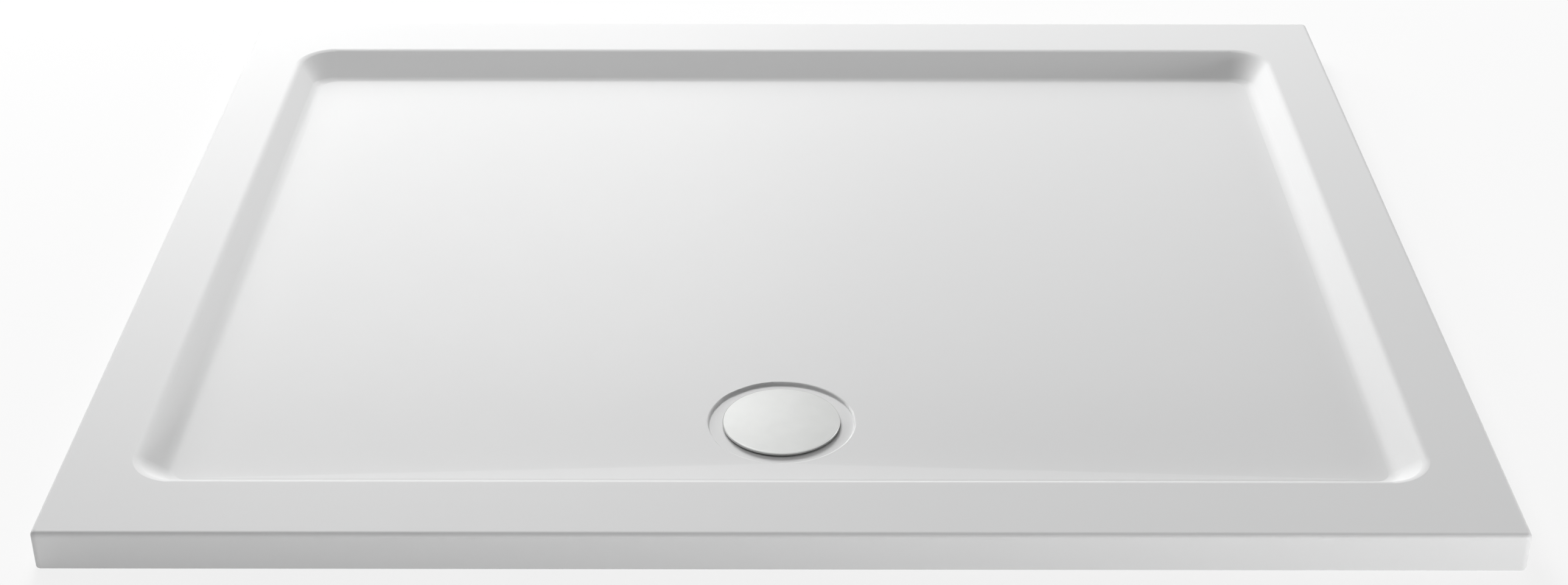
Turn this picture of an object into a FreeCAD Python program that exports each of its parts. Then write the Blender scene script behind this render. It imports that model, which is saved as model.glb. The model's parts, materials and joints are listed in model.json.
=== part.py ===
import FreeCAD, Part
import math
import os
from FreeCAD import Vector

# A rectangular low-profile shower tray with its waste and trap, in millimetres.
# The origin is the middle of the tray's underside, +Z is up and the waste lies towards -Y.

# Small sizes that many pieces share
EDGE_R = 0.8
SOFT_R = 0.5
PAST = 1.0
NEAR = 0.01

# Tray
WIDTH = 1200.0
DEPTH = 1000.0
HEIGHT = 35.0
OUTER_CORNER_R = 5.5
TOP_EDGE_R = 4.5
BOTTOM_EDGE_R = 1.4
SKIN_T = 3.0

# Well: the hollow that catches the water
RIM_SIDE = 62.0
RIM_ENDS = 76.0
WELL_CORNER_R = 36.0
FLOOR_CORNER_R = 20.0
WALL_RUN_SIDE = 20.0
WALL_RUN_FRONT = 26.0
WALL_RUN_BACK = 34.0
FLOOR_EDGE_Z = 13.0
LIP_R = 9.0
FOOT_R = 14.0
FLAT_BAND = 8.0

# Waste position and the moulded recess round it
WASTE_FROM_FRONT = 200.0
RING_EDGE_Z = 11.5
RING_R = 63.4
RING_EDGE_R = 1.8
RING_FOOT_R = 0.7
RING_BOTTOM_Z = 9.0
SEAT_R = 50.0
SEAT_Z = 7.5
WASTE_HOLE_R = 43.5
UNDER_RECESS_R = 62.0
UNDER_RECESS_H = 2.0

# Cover
COVER_R = 51.3
COVER_RIM_Z = 10.3
COVER_EDGE_Z = 12.8
COVER_DOME = 1.5
COVER_T = 1.0
COVER_EDGE_R = 1.1

# Waste flange and its screws
FLANGE_R = 48.3
FLANGE_BORE_R = 33.8
FLANGE_T = 1.2
FLANGE_BEND_R = 1.0
GASKET_T = 1.0
GASKET_GAP = 0.2
FLANGE_GASKET_R = 48.7
TRAP_GASKET_R = 57.5
COLLAR_T = 0.8
COLLAR_GAP = 0.2
SCREW_COUNT = 4
SCREW_PITCH_R = 38.3
SCREW_R = 1.95
SCREW_HEAD_R = 3.7
SCREW_HEAD_H = 1.5
SCREW_DOME_R = 1.0
SCREW_TIP_Z = -3.0
INSERT_R = 2.8
INSERT_BORE_R = 2.0
INSERT_BOTTOM_Z = -4.0
SCREW_GAP = 0.25
CROSS_L = 3.6
CROSS_W = 0.8
CROSS_H = 0.9

# Trap: a collar with the clamping flange, welded over the rim of a bowl with the outlet stub
TRAP_FLANGE_R = 58.0
TRAP_FLANGE_T = 5.0
NECK_R = 43.0
NECK_TOP_Z = 5.0
NECK_BORE_R = 33.6
LEDGE_Z = -1.0
LEDGE_R = 31.0
LEDGE_T = 3.0
SHOULDER_H = 5.0
SKIRT_R = 48.9
SKIRT_FOOT_Z = -14.0
BOWL_R = 46.5
BOWL_FOOT_R = 45.3
BOWL_T = 2.5
BOWL_ROUND_R = 8.5
TRAP_BOTTOM_Z = -70.0
RIBS = 9
RIB_T = 2.2
RIB_REACH = 7.5
RIB_DROP = 9.0
WEIR_FROM_AXIS = 33.0
WEIR_T = 2.5
WEIR_Z = -30.0

# Outlet, its swivel joint and elbow; distances run from the waste axis along +Y
OUTLET_Z = -35.0
OUTLET_BORE_R = 17.5
STUB_R = 25.0
STUB_ROOT = 31.5
STUB_END = 66.0
SOCKET_R = 21.2
SOCKET_START = 56.0
SPIGOT_R = 20.8
COLLAR_R = 24.2
COLLAR_START = 66.4
COLLAR_END = 70.0
TUBE_R = 20.2
SPIGOT_START = 57.0
SWIVEL_RING_U = 61.0
SWIVEL_RING_R = 20.2
SWIVEL_RING_SECTION = 0.9
UNION_START = 50.0
UNION_THREAD_R = 25.15
UNION_LIP_R = 20.7
UNION_R = 27.8
UNION_LUG_R = 29.3
UNION_LUGS = 10
UNION_GAP = 0.4
LUG_R = 3.0
BEND_START = 74.4
BEND_R = 27.0

# Pipe joint at the elbow's far end; distances run from the waste axis along +X
PIPE_SOCKET_R = 20.25
PIPE_STOP = 38.0
PIPE_MOUTH = 66.0
MOUTH_TAPER = 3.0
MOUTH_R = 23.4
ARM_FLARE = 4.0
ARM_FLARE_R = 1.5
MOUTH_EDGE_R = 0.6
NUT_THREAD_R = 25.35
NUT_START = 52.0
NUT_END = 74.0
NUT_LIP_T = 3.2
NUT_LIP_R = 20.7
NUT_R = 27.2
NUT_LUG_R = 28.5
NUT_LUGS = 12
NUT_EDGE_R = 1.5
NUT_LIP_EDGE_R = 0.4
LUG_START_IN = 1.5
LUG_END_IN = 3.0
WASHER_BORE_R = 20.3
WASHER_R = 24.6
WASHER_GAP = 0.5
WASHER_SEAT = 1.0
SLIP_BORE_R = 20.5
SLIP_R = 24.9
SLIP_START = 68.6
SLIP_END = 70.4

# Lift-out dip tube and strainer
DIP_GAP = 0.4
DIP_BEND_R = 2.0
DIP_RIM_R = 33.2
DIP_RIM_TOP_Z = 6.0
DIP_CUP_R = 30.7
DIP_SHELF_Z = 1.5
DIP_SHELF_R = 28.7
DIP_TUBE_R = 21.0
DIP_TUBE_BORE_R = 19.0
DIP_TUBE_BOTTOM_Z = -60.0
DIP_CONE_TOP_Z = -5.0
DIP_CONE_BOTTOM_Z = -14.5
DIP_RING_R = 32.5
DIP_RING_SECTION = 1.0
DIP_RING_Z = 2.8
STRAINER_R = 30.3
STRAINER_MOUTH_R = 27.55
STRAINER_RIM_H = 2.9
STRAINER_BEND_Z = -2.2
STRAINER_FLOOR_Z = -7.0
STRAINER_FLOOR_R = 23.4
STRAINER_T = 1.4
STRAINER_SLOTS = 12
STRAINER_SLOT_W = 2.6
STRAINER_SLOT_FROM = 9.5
STRAINER_SLOT_L = 15.0
STRAINER_SLOT_H = 6.5
STRAINER_GAP = 0.5
STRAINER_BEND_R = 1.5
STRAINER_LIP_T = 0.3
STRAINER_KNOB_R = 5.0
STRAINER_POST_R = 3.0
STRAINER_KNOB_H = 2.0

# Cover carrier: the moulded spider that holds the cover off the flange
CARRIER_R = 26.8
CARRIER_BORE_R = 24.6
CARRIER_FOOT_Z = 2.2
CARRIER_RING_TOP_Z = 4.6
CARRIER_WINDOW_H = 6.0
CARRIER_WINDOW_W = 26.0
CARRIER_ARMS = 4
CARRIER_ARM_W = 9.0
CARRIER_ARM_REACH = 46.5
CARRIER_TIE_R = 29.8
GRIP_RING_R = 26.55
GRIP_RING_SECTION = 0.9
GRIP_RING_Z = 3.4

WASTE_Y = -DEPTH / 2 + WASTE_FROM_FRONT
FLANGE_Z = SEAT_Z + GASKET_T
FLANGE_TOP_Z = FLANGE_Z + FLANGE_T
ARM_Y = BEND_START + BEND_R
BOWL_TOP_Z = LEDGE_Z - LEDGE_T - SHOULDER_H
UP = Vector(0, 0, 1)
ORIGIN = Vector(0, 0, 0)


# ---------------------------------------------------------------- helpers

def closed_outline(corners):
    """A closed wire in the XZ plane through (x, z, radius) corners, each rounded by its radius."""
    points = [Vector(c[0], 0, c[1]) for c in corners]
    count = len(points)
    ends = []
    edges = []
    for i, (_, _, radius) in enumerate(corners):
        here = points[i]
        to_last = (points[i - 1] - here).normalize()
        to_next = (points[(i + 1) % count] - here).normalize()
        if radius == 0:
            ends.append((here, here))
            continue
        half = to_last.getAngle(to_next) / 2
        reach = radius / math.tan(half)
        start = here + to_last * reach
        end = here + to_next * reach
        middle = (to_last + to_next).normalize()
        apex = here + middle * (radius / math.sin(half) - radius)
        edges.append(Part.Arc(start, apex, end).toShape())
        ends.append((start, end))
    for i in range(count):
        start = ends[i][1]
        end = ends[(i + 1) % count][0]
        if start.distanceToPoint(end) > NEAR / 100:
            edges.append(Part.LineSegment(start, end).toShape())
    return Part.Wire(Part.__sortEdges__(edges))


def turned(corners):
    """The solid that a (radius, z, corner radius) outline sweeps about the Z axis."""
    return Part.Face(closed_outline(corners)).revolve(ORIGIN, UP, 360)


def ring(inner, outer, low, high):
    return turned([(inner, low, 0), (outer, low, 0), (outer, high, 0), (inner, high, 0)])


def disc(radius, low, high):
    return Part.makeCylinder(radius, high - low, Vector(0, 0, low))


def o_ring(radius, section, z):
    return Part.makeTorus(radius, section, Vector(0, 0, z))


def fused(shapes):
    return shapes[0].multiFuse(shapes[1:]).removeSplitter()


def at_waste(shape):
    """Moves a shape made about the Z axis onto the waste's axis."""
    return shape.translated(Vector(0, WASTE_Y, 0))


def along_outlet(shape):
    """Turns a shape made about +Z onto the outlet's axis, which runs along +Y."""
    turned_shape = shape.rotated(ORIGIN, Vector(1, 0, 0), -90)
    return at_waste(turned_shape.translated(Vector(0, 0, OUTLET_Z)))


def along_pipe(shape):
    """Turns a shape made about +Z onto the discharge pipe's axis, which runs along +X."""
    turned_shape = shape.rotated(ORIGIN, Vector(0, 1, 0), 90)
    return at_waste(turned_shape.translated(Vector(0, ARM_Y, OUTLET_Z)))


# ---------------------------------------------------------------- tray

def rounded_rectangle(half_x, front, back, radius, z):
    """Eight edges, anticlockwise from the front: each straight side and the corner after it."""
    corners = [
        (half_x - radius, front + radius, -90),
        (half_x - radius, back - radius, 0),
        (-half_x + radius, back - radius, 90),
        (-half_x + radius, front + radius, 180),
    ]
    arcs = []
    for x, y, start in corners:
        circle = Part.Circle(Vector(x, y, z), UP, radius)
        arcs.append(Part.ArcOfCircle(circle, math.radians(start), math.radians(start + 90)))
    edges = []
    for i, arc in enumerate(arcs):
        side = Part.LineSegment(arcs[i - 1].EndPoint, arc.StartPoint)
        edges += [side.toShape(), arc.toShape()]
    return edges


def well_outline(z, inset, band=0.0):
    """The well's edges at height z, or a band inside them, for a surface inset under the skin's face."""
    depth = HEIGHT - FLOOR_EDGE_Z
    down = (HEIGHT - inset - z) / depth

    def half_size(full, run):
        grown = inset * math.tan(math.atan2(depth, run) / 2)
        return full + grown - run * down - band

    half_x = half_size(WIDTH / 2 - RIM_SIDE, WALL_RUN_SIDE)
    front = -half_size(DEPTH / 2 - RIM_ENDS, WALL_RUN_FRONT)
    back = half_size(DEPTH / 2 - RIM_ENDS, WALL_RUN_BACK)
    radius = WELL_CORNER_R + (FLOOR_CORNER_R - WELL_CORNER_R) * down - band
    return rounded_rectangle(half_x, front, back, radius, z)


def dish(outline, centre, radius):
    """The space under an outline whose straight sides fall to one point each of a ring."""
    circle = Part.Circle(centre, UP, radius)
    faces = []
    quarters = []
    for i, start in enumerate((-90, 0, 90, 180)):
        side, corner = outline[2 * i], outline[2 * i + 1]
        quarter = Part.ArcOfCircle(circle, math.radians(start), math.radians(start + 90))
        a, b = side.Vertexes[0].Point, side.Vertexes[-1].Point
        faces.append(Part.Face(Part.makePolygon([a, b, quarter.StartPoint, a])))
        quarters.append(quarter.toShape())
        faces.append(Part.makeRuledSurface(corner, quarters[-1]))
    faces.append(Part.Face(Part.Wire(outline)))
    faces.append(Part.Face(Part.Wire(quarters)))
    shell = Part.Shell(faces)
    shell.sewShape()
    space = Part.Solid(shell)
    return space if space.Volume > 0 else space.reversed()


def well_space(inset):
    """The hollow: four sloping walls, then a floor whose four falls blend into the waste's ring."""
    top = HEIGHT - inset + 2 * TOP_EDGE_R
    foot = FLOOR_EDGE_Z - inset
    outlines = [Part.Wire(well_outline(z, inset)) for z in (foot, top)]
    walls = Part.makeLoft(outlines, True, True)
    foot_edges = [e for e in walls.Edges if e.BoundBox.ZMax < foot + NEAR]
    walls = walls.makeFillet(FOOT_R + inset, foot_edges)
    centre = Vector(0, WASTE_Y, RING_EDGE_Z - inset)
    falls = dish(well_outline(foot, inset, FLAT_BAND), centre, RING_R + RING_EDGE_R + inset)
    return walls.fuse(falls)


def waste_recess(inset):
    """The shallow ring round the waste and the deeper seat under the cover."""
    edge = RING_EDGE_Z - inset
    wall = RING_R + inset
    bottom = RING_BOTTOM_Z - inset
    edge_r = max(RING_EDGE_R - inset, 0)
    outline = [(0, edge + PAST, 0), (wall + edge_r, edge + PAST, 0)]
    if edge_r:
        outline += [(wall + edge_r, edge, 0), (wall, edge, edge_r)]
    outline += [
        (wall, bottom, RING_FOOT_R),
        (SEAT_R + inset, bottom, 0),
        (SEAT_R + inset, SEAT_Z - inset, 0),
        (0, SEAT_Z - inset, 0),
    ]
    return at_waste(turned(outline))


def tray_block(inset):
    """The whole tray, or what is left of it inset under its outer faces."""
    half_x = WIDTH / 2 - inset
    half_y = DEPTH / 2 - inset
    top = HEIGHT - inset
    base = Part.Face(Part.Wire(rounded_rectangle(half_x, -half_y, half_y, OUTER_CORNER_R - inset, 0)))
    block = base.extrude(Vector(0, 0, top))
    top_edges = [e for e in block.Edges if e.BoundBox.ZMin > top - NEAR]
    block = block.makeFillet(TOP_EDGE_R - inset, top_edges)
    if inset < BOTTOM_EDGE_R:
        bottom_edges = [e for e in block.Edges if e.BoundBox.ZMax < NEAR]
        block = block.makeFillet(BOTTOM_EDGE_R - inset, bottom_edges)
    block = block.cut(well_space(inset))
    lip_edges = [e for e in block.Edges if e.BoundBox.ZMin > top - NEAR
                 and abs(e.CenterOfMass.x) < half_x - RIM_SIDE / 2
                 and abs(e.CenterOfMass.y) < half_y - RIM_SIDE / 2]
    block = block.makeFillet(LIP_R - inset, lip_edges)
    return block.cut(waste_recess(inset))


def tray_parts():
    """The glossy skin and the cast filling that backs it all over."""
    hole = at_waste(disc(WASTE_HOLE_R, -PAST, HEIGHT))
    under = at_waste(disc(UNDER_RECESS_R, -PAST, UNDER_RECESS_H))
    filling = tray_block(SKIN_T)
    skin = tray_block(0).cut(filling).cut(hole)
    return {
        "tray_shell": skin,
        "tray_core": filling.cut(hole).cut(under),
    }


# ---------------------------------------------------------------- waste flange and seals

def around(shape, count, first=0.0):
    """Copies of a shape, evenly turned about the Z axis."""
    return [shape.rotated(ORIGIN, UP, first + 360.0 * i / count) for i in range(count)]


def waste_flange():
    """Pressed ring with a turned-down collar and a hole for each screw."""
    foot = NECK_TOP_Z + COLLAR_GAP
    plate = turned([
        (FLANGE_BORE_R, foot, 0),
        (FLANGE_BORE_R + COLLAR_T, foot, 0),
        (FLANGE_BORE_R + COLLAR_T, FLANGE_Z, 0),
        (FLANGE_R, FLANGE_Z, 0),
        (FLANGE_R, FLANGE_TOP_Z, SOFT_R),
        (FLANGE_BORE_R, FLANGE_TOP_Z, FLANGE_BEND_R),
    ])
    hole = disc(SCREW_R + SCREW_GAP, FLANGE_Z - PAST, FLANGE_TOP_Z + PAST)
    hole.translate(Vector(SCREW_PITCH_R, 0, 0))
    return at_waste(plate.cut(Part.makeCompound(around(hole, SCREW_COUNT))))


def flange_screws():
    """Low pan-head screws with a cross recess."""
    top = FLANGE_TOP_Z + SCREW_HEAD_H
    screw = turned([
        (0, SCREW_TIP_Z, 0),
        (SCREW_R, SCREW_TIP_Z, SOFT_R),
        (SCREW_R, FLANGE_TOP_Z, 0),
        (SCREW_HEAD_R, FLANGE_TOP_Z, 0),
        (SCREW_HEAD_R, top, SCREW_DOME_R),
        (0, top, 0),
    ])
    arm = Part.makeBox(CROSS_L, CROSS_W, CROSS_H, Vector(-CROSS_L / 2, -CROSS_W / 2, top - CROSS_H))
    screw = screw.cut(arm).cut(arm.rotated(ORIGIN, UP, 90))
    screw.translate(Vector(SCREW_PITCH_R, 0, 0))
    return at_waste(Part.makeCompound(around(screw, SCREW_COUNT)))


def screw_inserts():
    """Threaded brass sleeves moulded into the trap's neck."""
    sleeve = ring(INSERT_BORE_R, INSERT_R, INSERT_BOTTOM_Z, NECK_TOP_Z)
    sleeve.translate(Vector(SCREW_PITCH_R, 0, 0))
    return at_waste(Part.makeCompound(around(sleeve, SCREW_COUNT)))


def flange_gasket():
    """Flat seal between the flange and the tray's seat."""
    return at_waste(ring(WASTE_HOLE_R + GASKET_GAP, FLANGE_GASKET_R, SEAT_Z, FLANGE_Z))


def trap_gasket():
    """Flat seal between the tray's underside and the trap's flange."""
    return at_waste(ring(WASTE_HOLE_R + GASKET_GAP, TRAP_GASKET_R, 0, UNDER_RECESS_H))


# ---------------------------------------------------------------- trap

def trap_rib():
    """A gusset under the trap's flange."""
    top = -TRAP_FLANGE_T + SOFT_R
    root = SKIRT_R - EDGE_R
    points = [Vector(root, 0, top), Vector(root + RIB_REACH, 0, top), Vector(root, 0, top - RIB_DROP)]
    face = Part.Face(Part.makePolygon(points + points[:1]))
    return face.extrude(Vector(0, RIB_T, 0)).translated(Vector(0, -RIB_T / 2, 0))


def towards_outlet(radius, start, end):
    """A round bar about the outlet's axis, before the trap is moved onto the waste."""
    bar = disc(radius, start, end).rotated(ORIGIN, Vector(1, 0, 0), -90)
    return bar.translated(Vector(0, 0, OUTLET_Z))


def trap_collar():
    """Clamping flange with its neck, the ledge for the dip tube, gussets and a skirt over the bowl's rim."""
    collar = turned([
        (LEDGE_R, LEDGE_Z - LEDGE_T, 0),
        (BOWL_R - BOWL_T, BOWL_TOP_Z, 0),
        (BOWL_R, BOWL_TOP_Z, 0),
        (BOWL_R, SKIRT_FOOT_Z, 0),
        (SKIRT_R, SKIRT_FOOT_Z, SOFT_R),
        (SKIRT_R, -TRAP_FLANGE_T, 0),
        (TRAP_FLANGE_R, -TRAP_FLANGE_T, EDGE_R),
        (TRAP_FLANGE_R, 0, EDGE_R),
        (NECK_R, 0, 0),
        (NECK_R, NECK_TOP_Z, EDGE_R),
        (NECK_BORE_R, NECK_TOP_Z, 0),
        (NECK_BORE_R, LEDGE_Z, 0),
        (LEDGE_R, LEDGE_Z, 0),
    ])
    ribs = around(trap_rib(), RIBS, 90)[1:]
    notch = towards_outlet(STUB_R + SOFT_R, STUB_ROOT, TRAP_FLANGE_R)
    pocket = disc(INSERT_R, INSERT_BOTTOM_Z, NECK_TOP_Z + PAST)
    pocket.translate(Vector(SCREW_PITCH_R, 0, 0))
    collar = fused([collar] + ribs).cut(notch)
    return at_waste(collar.cut(Part.makeCompound(around(pocket, SCREW_COUNT))))


def trap_bowl():
    """Bowl with the weir that holds the water's level and the outlet stub."""
    outside = turned([
        (0, TRAP_BOTTOM_Z, 0),
        (BOWL_FOOT_R, TRAP_BOTTOM_Z, BOWL_ROUND_R),
        (BOWL_R, BOWL_TOP_Z, 0),
        (0, BOWL_TOP_Z, 0),
    ])
    hollow = turned([
        (0, TRAP_BOTTOM_Z + BOWL_T, 0),
        (BOWL_FOOT_R - BOWL_T, TRAP_BOTTOM_Z + BOWL_T, BOWL_ROUND_R - BOWL_T),
        (BOWL_R - BOWL_T, BOWL_TOP_Z, 0),
        (0, BOWL_TOP_Z, 0),
    ])
    stub = towards_outlet(STUB_R, STUB_ROOT, STUB_END)
    weir_h = WEIR_Z - TRAP_BOTTOM_Z
    weir = Part.makeBox(2 * BOWL_R, WEIR_T, weir_h, Vector(-BOWL_R, WEIR_FROM_AXIS, TRAP_BOTTOM_Z))
    bowl = fused([fused([outside, stub]).cut(hollow), weir.common(hollow)])
    bore = towards_outlet(OUTLET_BORE_R, WEIR_FROM_AXIS + WEIR_T, STUB_END)
    socket = towards_outlet(SOCKET_R, SOCKET_START, STUB_END + PAST)
    return at_waste(bowl.cut(bore.fuse(socket)))


# ---------------------------------------------------------------- lift-out pieces

def dip_tube():
    """Funnel whose tube dips under the water to hold back the drain's air."""
    wall = DIP_TUBE_R - DIP_TUBE_BORE_R
    body = turned([
        (DIP_CUP_R, DIP_RIM_TOP_Z, SOFT_R),
        (DIP_RIM_R, DIP_RIM_TOP_Z, SOFT_R),
        (DIP_RIM_R, LEDGE_Z, 0),
        (LEDGE_R - DIP_GAP, LEDGE_Z, 0),
        (LEDGE_R - DIP_GAP, DIP_CONE_TOP_Z, DIP_BEND_R),
        (DIP_TUBE_R, DIP_CONE_BOTTOM_Z, DIP_BEND_R),
        (DIP_TUBE_R, DIP_TUBE_BOTTOM_Z, 0),
        (DIP_TUBE_BORE_R, DIP_TUBE_BOTTOM_Z, 0),
        (DIP_TUBE_BORE_R, DIP_CONE_BOTTOM_Z + wall / 2, DIP_BEND_R),
        (DIP_SHELF_R, DIP_CONE_TOP_Z + wall / 2, DIP_BEND_R),
        (DIP_SHELF_R, DIP_SHELF_Z, 0),
        (DIP_CUP_R, DIP_SHELF_Z, 0),
    ])
    return at_waste(body.cut(o_ring(DIP_RING_R, DIP_RING_SECTION, DIP_RING_Z)))


def dip_tube_oring():
    return at_waste(o_ring(DIP_RING_R, DIP_RING_SECTION, DIP_RING_Z))


def hair_strainer():
    """Slotted basket with a post to lift it by."""
    rim_top = DIP_SHELF_Z + STRAINER_RIM_H
    wall_r = DIP_SHELF_R - STRAINER_GAP
    floor_top = STRAINER_FLOOR_Z + STRAINER_T
    lip_z = DIP_SHELF_Z - STRAINER_LIP_T
    basket = turned([
        (STRAINER_MOUTH_R, rim_top, STRAINER_LIP_T),
        (STRAINER_R, rim_top, SOFT_R),
        (STRAINER_R, DIP_SHELF_Z, 0),
        (wall_r, DIP_SHELF_Z, 0),
        (wall_r, STRAINER_BEND_Z, STRAINER_BEND_R),
        (STRAINER_FLOOR_R, STRAINER_FLOOR_Z, STRAINER_BEND_R),
        (0, STRAINER_FLOOR_Z, 0),
        (0, floor_top, 0),
        (STRAINER_FLOOR_R - STRAINER_T / 2, floor_top, STRAINER_BEND_R - SOFT_R),
        (wall_r - STRAINER_T, STRAINER_BEND_Z + STRAINER_T / 2, STRAINER_BEND_R - SOFT_R),
        (wall_r - STRAINER_T, lip_z, 0),
        (STRAINER_MOUTH_R, lip_z, 0),
    ])
    slot = Part.makeBox(STRAINER_SLOT_L, STRAINER_SLOT_W, STRAINER_SLOT_H,
                        Vector(STRAINER_SLOT_FROM, -STRAINER_SLOT_W / 2, STRAINER_FLOOR_Z - PAST))
    basket = basket.cut(Part.makeCompound(around(slot, STRAINER_SLOTS)))
    knob_z = rim_top - STRAINER_KNOB_H
    post = turned([
        (0, floor_top - SOFT_R, 0),
        (STRAINER_POST_R, floor_top - SOFT_R, 0),
        (STRAINER_POST_R, knob_z, EDGE_R),
        (STRAINER_KNOB_R, knob_z, SOFT_R),
        (STRAINER_KNOB_R, rim_top, EDGE_R),
        (0, rim_top, 0),
    ])
    return at_waste(fused([basket, post]))


# ---------------------------------------------------------------- cover

def dome(inset):
    """The solid under the cover's face, or under a face inset from it."""
    radius = COVER_R - inset
    sphere = (COVER_R ** 2 + COVER_DOME ** 2) / (2 * COVER_DOME)
    centre_z = COVER_EDGE_Z + COVER_DOME - sphere

    def height(r):
        return centre_z + math.sqrt((sphere - inset) ** 2 - r ** 2)

    foot = Vector(radius, 0, COVER_RIM_Z)
    edge = Vector(radius, 0, height(radius))
    middle = Vector(radius / 2, 0, height(radius / 2))
    top = Vector(0, 0, height(0))
    base = Vector(0, 0, COVER_RIM_Z)
    edges = [
        Part.LineSegment(base, foot).toShape(),
        Part.LineSegment(foot, edge).toShape(),
        Part.Arc(edge, middle, top).toShape(),
        Part.LineSegment(top, base).toShape(),
    ]
    solid = Part.Face(Part.Wire(edges)).revolve(ORIGIN, UP, 360)
    rims = [e for e in solid.Edges if e.BoundBox.ZLength < NEAR and e.BoundBox.ZMin > edge.z - NEAR]
    return solid.makeFillet(COVER_EDGE_R - inset, rims) if COVER_EDGE_R > inset else solid


def cover_plate():
    """Shallow domed metal disc with a turned-down rim."""
    return at_waste(dome(0).cut(dome(COVER_T)))


def cover_carrier():
    """Spider under the cover: arms that stand on the flange and a skirt that plugs into the strainer."""
    skirt = ring(CARRIER_BORE_R, CARRIER_R, CARRIER_FOOT_Z, COVER_EDGE_Z + COVER_DOME)
    window_top = CARRIER_RING_TOP_Z + CARRIER_WINDOW_H
    window = Part.makeBox(CARRIER_R, CARRIER_WINDOW_W, CARRIER_WINDOW_H,
                          Vector(PAST, -CARRIER_WINDOW_W / 2, CARRIER_RING_TOP_Z))
    skirt = skirt.cut(Part.makeCompound(around(window, CARRIER_ARMS)))
    arm_h = COVER_EDGE_Z + COVER_DOME - FLANGE_TOP_Z
    arm_l = CARRIER_ARM_REACH - CARRIER_BORE_R
    arm = Part.makeBox(arm_l, CARRIER_ARM_W, arm_h, Vector(CARRIER_BORE_R, -CARRIER_ARM_W / 2, FLANGE_TOP_Z))
    arms = around(arm, CARRIER_ARMS, 180.0 / CARRIER_ARMS)
    tie = ring(CARRIER_BORE_R, CARRIER_TIE_R, window_top, COVER_EDGE_Z + COVER_DOME)
    spider = fused([skirt, tie] + arms)
    under = dome(COVER_T).fuse(disc(CARRIER_R + PAST, CARRIER_FOOT_Z - PAST, COVER_RIM_Z + NEAR))
    under = under.fuse(disc(CARRIER_ARM_REACH, FLANGE_TOP_Z, COVER_RIM_Z + NEAR))
    spider = spider.common(under)
    return at_waste(spider.cut(o_ring(GRIP_RING_R, GRIP_RING_SECTION, GRIP_RING_Z)))


def cover_grip_ring():
    return at_waste(o_ring(GRIP_RING_R, GRIP_RING_SECTION, GRIP_RING_Z))


# ---------------------------------------------------------------- outlet

def lugged_nut(thread_r, lip_r, body_r, lug_r, lugs, start, lip, end):
    """A hand nut: threaded skirt, inward lip and rounded grip lugs."""
    nut = turned([
        (thread_r, start, 0),
        (body_r, start, EDGE_R),
        (body_r, end, NUT_EDGE_R),
        (lip_r, end, NUT_LIP_EDGE_R),
        (lip_r, lip, 0),
        (thread_r, lip, 0),
    ])
    lug = disc(LUG_R, start + LUG_START_IN, end - LUG_END_IN)
    lug.translate(Vector(lug_r - LUG_R, 0, 0))
    grip = Part.makeCompound(around(lug, lugs)).cut(disc(thread_r + SOFT_R, start, end))
    return fused([nut] + grip.Solids)


def swivel_union_nut():
    return along_outlet(lugged_nut(UNION_THREAD_R, UNION_LIP_R, UNION_R, UNION_LUG_R, UNION_LUGS,
                                   UNION_START, COLLAR_END + UNION_GAP, BEND_START - UNION_GAP))


def swivel_seal():
    return along_outlet(o_ring(SWIVEL_RING_R, SWIVEL_RING_SECTION, SWIVEL_RING_U))


def elbow_bend():
    """The quarter turn from the outlet's axis to the pipe's axis."""
    start = Vector(0, BEND_START, OUTLET_Z)
    circles = [Part.makeCircle(r, start, Vector(0, 1, 0)) for r in (TUBE_R, OUTLET_BORE_R)]
    across = [Part.Face(Part.Wire(circle)) for circle in circles]
    wall = across[0].cut(across[1]).Faces[0]
    return at_waste(wall.revolve(Vector(BEND_R, BEND_START, OUTLET_Z), UP, -90))


def swivel_elbow():
    """Elbow whose collar turns in the union nut and whose far end takes the discharge pipe."""
    inlet = turned([
        (0, SPIGOT_START, 0),
        (SPIGOT_R, SPIGOT_START, EDGE_R),
        (SPIGOT_R, COLLAR_START, 0),
        (COLLAR_R, COLLAR_START, 0),
        (COLLAR_R, COLLAR_END, SOFT_R),
        (TUBE_R, COLLAR_END, 0),
        (TUBE_R, BEND_START, 0),
        (0, BEND_START, 0),
    ])
    groove = o_ring(SWIVEL_RING_R, SWIVEL_RING_SECTION, SWIVEL_RING_U)
    inlet = inlet.cut(groove).cut(disc(OUTLET_BORE_R, SPIGOT_START, BEND_START))
    arm = turned([
        (OUTLET_BORE_R, BEND_R, 0),
        (TUBE_R, BEND_R, 0),
        (TUBE_R, PIPE_STOP - ARM_FLARE, ARM_FLARE_R),
        (STUB_R, PIPE_STOP, ARM_FLARE_R),
        (STUB_R, PIPE_MOUTH, MOUTH_EDGE_R),
        (MOUTH_R, PIPE_MOUTH, 0),
        (PIPE_SOCKET_R, PIPE_MOUTH - MOUTH_TAPER, 0),
        (PIPE_SOCKET_R, PIPE_STOP, 0),
        (OUTLET_BORE_R, PIPE_STOP, 0),
    ])
    return fused([along_outlet(inlet), elbow_bend(), along_pipe(arm)])


def compression_washer():
    """Tapered rubber ring that the nut squeezes into the socket's mouth."""
    mouth_start = PIPE_MOUTH - MOUTH_TAPER
    slope = (MOUTH_R - PIPE_SOCKET_R) / MOUTH_TAPER
    tip = mouth_start + WASHER_SEAT
    shoulder = PIPE_MOUTH + WASHER_GAP
    return along_pipe(turned([
        (WASHER_BORE_R, tip, 0),
        (PIPE_SOCKET_R + slope * (tip - WASHER_GAP - mouth_start), tip, 0),
        (PIPE_SOCKET_R + slope * (shoulder - WASHER_GAP - mouth_start), shoulder, 0),
        (WASHER_R, shoulder, 0),
        (WASHER_R, SLIP_START, 0),
        (WASHER_BORE_R, SLIP_START, 0),
    ]))


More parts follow.
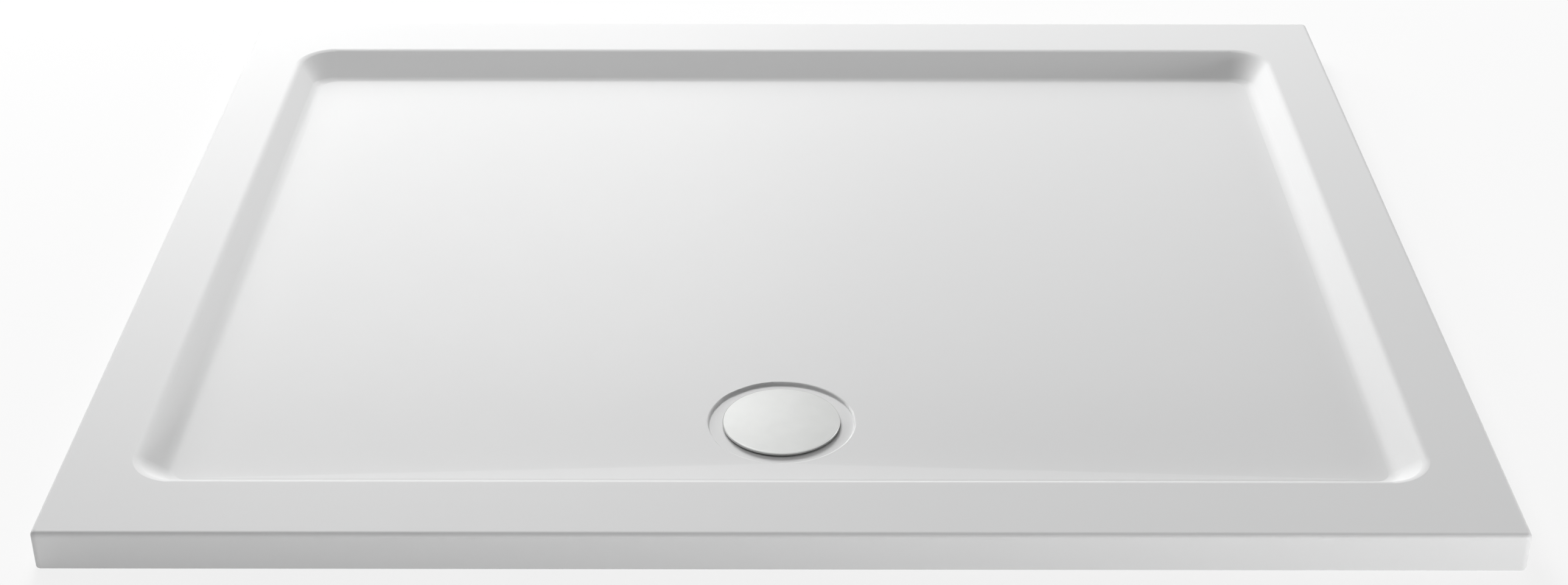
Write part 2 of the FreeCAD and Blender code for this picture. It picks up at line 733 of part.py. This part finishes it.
def slip_ring():
    """Hard ring that lets the nut turn without twisting the washer."""
    return along_pipe(ring(SLIP_BORE_R, SLIP_R, SLIP_START, SLIP_END))


def compression_nut():
    return along_pipe(lugged_nut(NUT_THREAD_R, NUT_LIP_R, NUT_R, NUT_LUG_R, NUT_LUGS,
                                 NUT_START, NUT_END - NUT_LIP_T, NUT_END))


# ---------------------------------------------------------------- write

def nodes():
    parts = tray_parts()
    makers = [
        waste_flange, flange_screws, screw_inserts, flange_gasket, trap_gasket, trap_collar, trap_bowl,
        dip_tube, dip_tube_oring, hair_strainer, cover_plate, cover_carrier, cover_grip_ring,
        swivel_union_nut, swivel_seal, swivel_elbow, compression_washer, slip_ring, compression_nut,
    ]
    for maker in makers:
        parts[maker.__name__] = maker()
    return parts


os.makedirs("parts", exist_ok=True)
for name, shape in nodes().items():
    shape.exportStep("parts/%s.step" % name)
    print(name, "valid", shape.isValid(), "solids", len(shape.Solids), "volume", round(shape.Volume))
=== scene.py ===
import bpy
import json
import math
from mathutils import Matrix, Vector


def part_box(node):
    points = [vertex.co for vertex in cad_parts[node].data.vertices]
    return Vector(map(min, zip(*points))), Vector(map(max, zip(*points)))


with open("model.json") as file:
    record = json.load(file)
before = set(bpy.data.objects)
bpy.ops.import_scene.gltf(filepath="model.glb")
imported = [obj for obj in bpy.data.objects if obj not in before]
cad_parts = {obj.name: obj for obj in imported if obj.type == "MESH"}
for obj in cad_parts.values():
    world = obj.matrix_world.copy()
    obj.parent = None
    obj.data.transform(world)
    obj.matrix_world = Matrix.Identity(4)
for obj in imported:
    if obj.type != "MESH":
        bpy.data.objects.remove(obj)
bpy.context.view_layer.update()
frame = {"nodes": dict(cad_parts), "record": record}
nodes = frame["nodes"]

# Places in metres. The tray's underside is at z = 0 and its waste lies towards -Y.
TRAY_LOW, TRAY_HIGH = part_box("tray_shell")

# Camera
CAMERA_AT = (0.0066, -2.0797, 1.1792)
CAMERA_DOWN_DEG = 30.24
CAMERA_LEFT_DEG = 0.14
LENS_MM = 55.95
SENSOR_MM = 36.0

# Stage. The floor's glow is the share of plain white in it where it is seen.
FLOOR_HALF = 6.0
PIT_MARGIN = 0.05
FLOOR_COLOUR = (0.90, 0.90, 0.90, 1)
FLOOR_GLOW = 0.82
WHITE = (1, 1, 1, 1)
AMBIENT = 0.07

# Lamps: the points that they face, and the width and height of their soft boxes
MIDDLE = (0, 0, 0)
BEHIND_MIDDLE = (0, 0.1, 0)
LEFT_OF_MIDDLE = (-0.2, 0.1, 0)
FRONT_FACE = (0, -0.5, 0.02)
FRONT_FACE_RIGHT = (0.4, -0.5, 0.02)
BACK_BOX = (1.6, 1.0)
SIDE_BOX = (1.6, 0.8)
LEFT_TOP_BOX = (1.2, 1.2)
TOP_BOX = (1.4, 1.4)
SHORT_STRIP = (1.0, 0.2)
LONG_STRIP = (2.0, 0.25)

# Finishes
PLASTIC_IOR = 1.49
NOISE_SPAN = (0.3, 0.7)


# ---------------------------------------------------------------- node helpers

class Maker:
    """A material's node tree, with short calls for the nodes that the finishes share."""

    def __init__(self, name):
        self.material = bpy.data.materials.new(name)
        self.material.use_nodes = True
        self.tree = self.material.node_tree
        self.shader = self.tree.nodes["Principled BSDF"]
        coordinates = self.add("ShaderNodeTexCoord")
        self.place = coordinates.outputs["Object"]

    def add(self, kind):
        return self.tree.nodes.new(kind)

    def link(self, out, socket):
        self.tree.links.new(out, socket)

    def stretched(self, scale):
        """The place, stretched by a scale along each axis."""
        mapping = self.add("ShaderNodeMapping")
        mapping.inputs["Scale"].default_value = scale
        self.link(self.place, mapping.inputs["Vector"])
        return mapping.outputs["Vector"]

    def noise(self, scale, detail=2.0, place=None, roughness=0.5):
        """A noise whose values lie mostly within NOISE_SPAN."""
        node = self.add("ShaderNodeTexNoise")
        node.inputs["Scale"].default_value = scale
        node.inputs["Detail"].default_value = detail
        node.inputs["Roughness"].default_value = roughness
        self.link(place or self.place, node.inputs["Vector"])
        return node.outputs["Fac"]

    def between(self, value, low, high, start=0.0, end=1.0):
        """A value from start to end, spread over low to high."""
        node = self.add("ShaderNodeMapRange")
        node.inputs["From Min"].default_value = start
        node.inputs["From Max"].default_value = end
        node.inputs["To Min"].default_value = low
        node.inputs["To Max"].default_value = high
        self.link(value, node.inputs["Value"])
        return node.outputs["Result"]

    def blend(self, value, dark, light):
        """A colour between dark and light."""
        node = self.add("ShaderNodeValToRGB")
        node.color_ramp.elements[0].color = (*dark, 1)
        node.color_ramp.elements[1].color = (*light, 1)
        self.link(value, node.inputs["Fac"])
        return node.outputs["Color"]

    def bump(self, height, distance):
        """A fine relief, as deep as a distance in metres."""
        node = self.add("ShaderNodeBump")
        node.inputs["Strength"].default_value = 1.0
        node.inputs["Distance"].default_value = distance
        self.link(height, node.inputs["Height"])
        return node.outputs["Normal"]

    def set(self, **sockets):
        """Sets the shader's sockets, by number or by link. Underscores stand for spaces."""
        for key, value in sockets.items():
            socket = self.shader.inputs[key.replace("_", " ")]
            if isinstance(value, bpy.types.NodeSocket):
                self.link(value, socket)
            else:
                socket.default_value = value
        return self.material


# ---------------------------------------------------------------- finishes

def glossy_white():
    """Cast acrylic: an even white with a faint ripple and a soft gloss."""
    m = Maker("glossy_white")
    tone = m.between(m.noise(9.0), 0.35, 0.65)
    ripple = m.bump(m.noise(55.0, 1.0), 0.00006)
    return m.set(
        Base_Color=m.blend(tone, (0.838, 0.840, 0.840), (0.858, 0.860, 0.860)),
        Roughness=m.between(m.noise(30.0), 0.33, 0.39),
        Normal=ripple,
        IOR=PLASTIC_IOR,
    )


def cast_filling():
    """Resin stone: pale and matt with darker grains."""
    m = Maker("cast_filling")
    grain = m.noise(900.0, 4.0, roughness=0.7)
    tone = m.between(grain, 0.0, 1.0, *NOISE_SPAN)
    return m.set(
        Base_Color=m.blend(tone, (0.46, 0.45, 0.42), (0.76, 0.75, 0.72)),
        Roughness=m.between(grain, 0.65, 0.85),
        Normal=m.bump(grain, 0.0003),
        Specular_IOR_Level=0.3,
    )


def satin_steel():
    """Fine-blasted stainless steel."""
    m = Maker("satin_steel")
    grain = m.noise(2600.0, 3.0, roughness=0.6)
    cloud = m.noise(60.0, 2.0)
    return m.set(
        Base_Color=m.blend(cloud, (0.528, 0.534, 0.526), (0.572, 0.578, 0.570)),
        Metallic=1.0,
        Roughness=m.between(grain, 0.30, 0.42, *NOISE_SPAN),
        Normal=m.bump(grain, 0.00002),
    )


def stainless_screw():
    """Turned stainless steel."""
    m = Maker("stainless_screw")
    turning = m.noise(400.0, 3.0, m.stretched((1.0, 1.0, 12.0)))
    return m.set(
        Base_Color=m.blend(turning, (0.50, 0.50, 0.50), (0.64, 0.64, 0.63)),
        Metallic=1.0,
        Roughness=m.between(turning, 0.22, 0.38),
        Normal=m.bump(turning, 0.00003),
    )


def brass_insert():
    """Turned brass."""
    m = Maker("brass_insert")
    turning = m.noise(500.0, 3.0, m.stretched((1.0, 1.0, 8.0)))
    return m.set(
        Base_Color=m.blend(turning, (0.62, 0.44, 0.18), (0.78, 0.58, 0.28)),
        Metallic=1.0,
        Roughness=m.between(turning, 0.24, 0.42),
        Normal=m.bump(turning, 0.00003),
    )


def moulded(name, dark, light, rough):
    """Moulded plastic: a fine spark-eroded grain under a slow drift of colour."""
    m = Maker(name)
    grain = m.noise(1400.0, 2.0)
    drift = m.noise(25.0, 2.0)
    return m.set(
        Base_Color=m.blend(drift, dark, light),
        Roughness=m.between(grain, rough - 0.06, rough + 0.08, *NOISE_SPAN),
        Normal=m.bump(grain, 0.00004),
        IOR=PLASTIC_IOR,
    )


def black_rubber():
    """Soft rubber with a faint bloom."""
    m = Maker("black_rubber")
    bloom = m.noise(120.0, 4.0)
    return m.set(
        Base_Color=m.blend(bloom, (0.012, 0.012, 0.012), (0.035, 0.035, 0.034)),
        Roughness=m.between(bloom, 0.55, 0.80, *NOISE_SPAN),
        Normal=m.bump(m.noise(2200.0), 0.00005),
        Sheen_Weight=0.1,
    )


def dress_nodes():
    """Gives every piece of the frame the finish that its slot names."""
    finishes = {
        "glossy_white": glossy_white(),
        "cast_filling": cast_filling(),
        "satin_steel": satin_steel(),
        "stainless_screw": stainless_screw(),
        "brass_insert": brass_insert(),
        "moulded_grey": moulded("moulded_grey", (0.34, 0.35, 0.36), (0.38, 0.39, 0.40), 0.42),
        "moulded_white": moulded("moulded_white", (0.72, 0.72, 0.71), (0.78, 0.78, 0.77), 0.38),
        "moulded_black": moulded("moulded_black", (0.014, 0.014, 0.015), (0.022, 0.022, 0.024), 0.36),
        "black_rubber": black_rubber(),
    }
    for row in frame["record"]["subparts"]:
        node = nodes[row["node"]]
        for place in node.material_slots:
            place.material = finishes[row["material_slot"]]


# ---------------------------------------------------------------- stage

def seen_directly(tree):
    """1 for rays from the camera, off gloss or through glass, and 0 for the rest."""
    path = tree.nodes.new("ShaderNodeLightPath")
    total = path.outputs["Is Camera Ray"]
    for name in ("Is Glossy Ray", "Is Transmission Ray"):
        adder = tree.nodes.new("ShaderNodeMath")
        adder.operation = "ADD"
        adder.use_clamp = True
        tree.links.new(total, adder.inputs[0])
        tree.links.new(path.outputs[name], adder.inputs[1])
        total = adder.outputs[0]
    return total


def floor_finish():
    """A matt pale floor that keeps shadows and glows white where it is seen."""
    material = bpy.data.materials.new("floor")
    material.use_nodes = True
    tree = material.node_tree
    shader = tree.nodes["Principled BSDF"]
    shader.inputs["Base Color"].default_value = FLOOR_COLOUR
    shader.inputs["Roughness"].default_value = 0.9
    shader.inputs["Specular IOR Level"].default_value = 0.1
    glow = tree.nodes.new("ShaderNodeEmission")
    share = tree.nodes.new("ShaderNodeMath")
    share.operation = "MULTIPLY"
    share.inputs[1].default_value = FLOOR_GLOW
    tree.links.new(seen_directly(tree), share.inputs[0])
    mix = tree.nodes.new("ShaderNodeMixShader")
    tree.links.new(share.outputs[0], mix.inputs["Fac"])
    tree.links.new(shader.outputs[0], mix.inputs[1])
    tree.links.new(glow.outputs[0], mix.inputs[2])
    tree.links.new(mix.outputs[0], tree.nodes["Material Output"].inputs["Surface"])
    return material


def rectangle(low_x, low_y, high_x, high_y):
    """A rectangle's corners, anticlockwise from the lowest."""
    return [(low_x, low_y), (high_x, low_y), (high_x, high_y), (low_x, high_y)]


def floor():
    """A plain floor with an opening under the tray for the trap."""
    low = TRAY_LOW + Vector((PIT_MARGIN, PIT_MARGIN, 0))
    high = TRAY_HIGH - Vector((PIT_MARGIN, PIT_MARGIN, 0))
    outer = rectangle(-FLOOR_HALF, -FLOOR_HALF, FLOOR_HALF, FLOOR_HALF)
    inner = rectangle(low.x, low.y, high.x, high.y)
    corners = [(x, y, TRAY_LOW.z) for x, y in outer + inner]
    faces = [(i, (i + 1) % 4, 4 + (i + 1) % 4, 4 + i) for i in range(4)]
    mesh = bpy.data.meshes.new("floor")
    mesh.from_pydata(corners, [], faces)
    mesh.materials.append(floor_finish())
    piece = bpy.data.objects.new("floor", mesh)
    bpy.context.scene.collection.objects.link(piece)


def surroundings():
    """White where it is seen, and a plain weak fill light otherwise."""
    world = bpy.data.worlds.new("world")
    bpy.context.scene.world = world
    world.use_nodes = True
    tree = world.node_tree
    background = tree.nodes["Background"]
    background.inputs["Color"].default_value = WHITE
    level = tree.nodes.new("ShaderNodeMapRange")
    level.inputs["To Min"].default_value = AMBIENT
    level.inputs["To Max"].default_value = 1.0
    tree.links.new(seen_directly(tree), level.inputs["Value"])
    tree.links.new(level.outputs["Result"], background.inputs["Strength"])


def lamp(name, at, aim, box, power, mirrored=True):
    """A soft box at a place, turned to face a point. Gloss and metal don't show one that isn't mirrored."""
    light = bpy.data.lights.new(name, "AREA")
    light.shape = "RECTANGLE"
    light.size, light.size_y = box
    light.energy = power
    piece = bpy.data.objects.new(name, light)
    bpy.context.scene.collection.objects.link(piece)
    piece.location = at
    piece.rotation_euler = (Vector(aim) - Vector(at)).to_track_quat("-Z", "Y").to_euler()
    piece.visible_glossy = mirrored


def lamps():
    """The main light comes from behind and the left, with weak strips on the front face."""
    lamp("back_soft", (-0.8, 3.5, 2.2), BEHIND_MIDDLE, BACK_BOX, 146.0, mirrored=False)
    lamp("back_left_soft", (-2.0, 3.5, 1.2), BEHIND_MIDDLE, BACK_BOX, 62.0, mirrored=False)
    lamp("back_glint", (-0.78, 3.42, 2.15), BEHIND_MIDDLE, BACK_BOX, 7.5)
    lamp("over_left", (-1.0, 0.6, 2.0), LEFT_OF_MIDDLE, LEFT_TOP_BOX, 6.2)
    lamp("over_middle", (0, 0, 2.4), MIDDLE, TOP_BOX, 2.7)
    lamp("left_side", (-4.5, 1.8, 2.0), MIDDLE, SIDE_BOX, 15.0)
    lamp("right_side", (4.0, 2.0, 1.2), MIDDLE, SIDE_BOX, 21.0)
    lamp("front_right", (1.5, -1.5, 0.14), FRONT_FACE_RIGHT, SHORT_STRIP, 11.6)
    lamp("front_fill", (0, -2.2, 0.16), FRONT_FACE, LONG_STRIP, 7.5)


def camera():
    """The photograph's camera, from the vanishing points of the tray's edges."""
    lens = bpy.data.cameras.new("camera")
    lens.lens = LENS_MM
    lens.sensor_width = SENSOR_MM
    piece = bpy.data.objects.new("camera", lens)
    bpy.context.scene.collection.objects.link(piece)
    piece.location = CAMERA_AT
    piece.rotation_euler = (math.radians(90 - CAMERA_DOWN_DEG), 0, math.radians(CAMERA_LEFT_DEG))
    bpy.context.scene.camera = piece


dress_nodes()
floor()
surroundings()
lamps()
camera()
bpy.context.scene.view_settings.view_transform = "Standard"
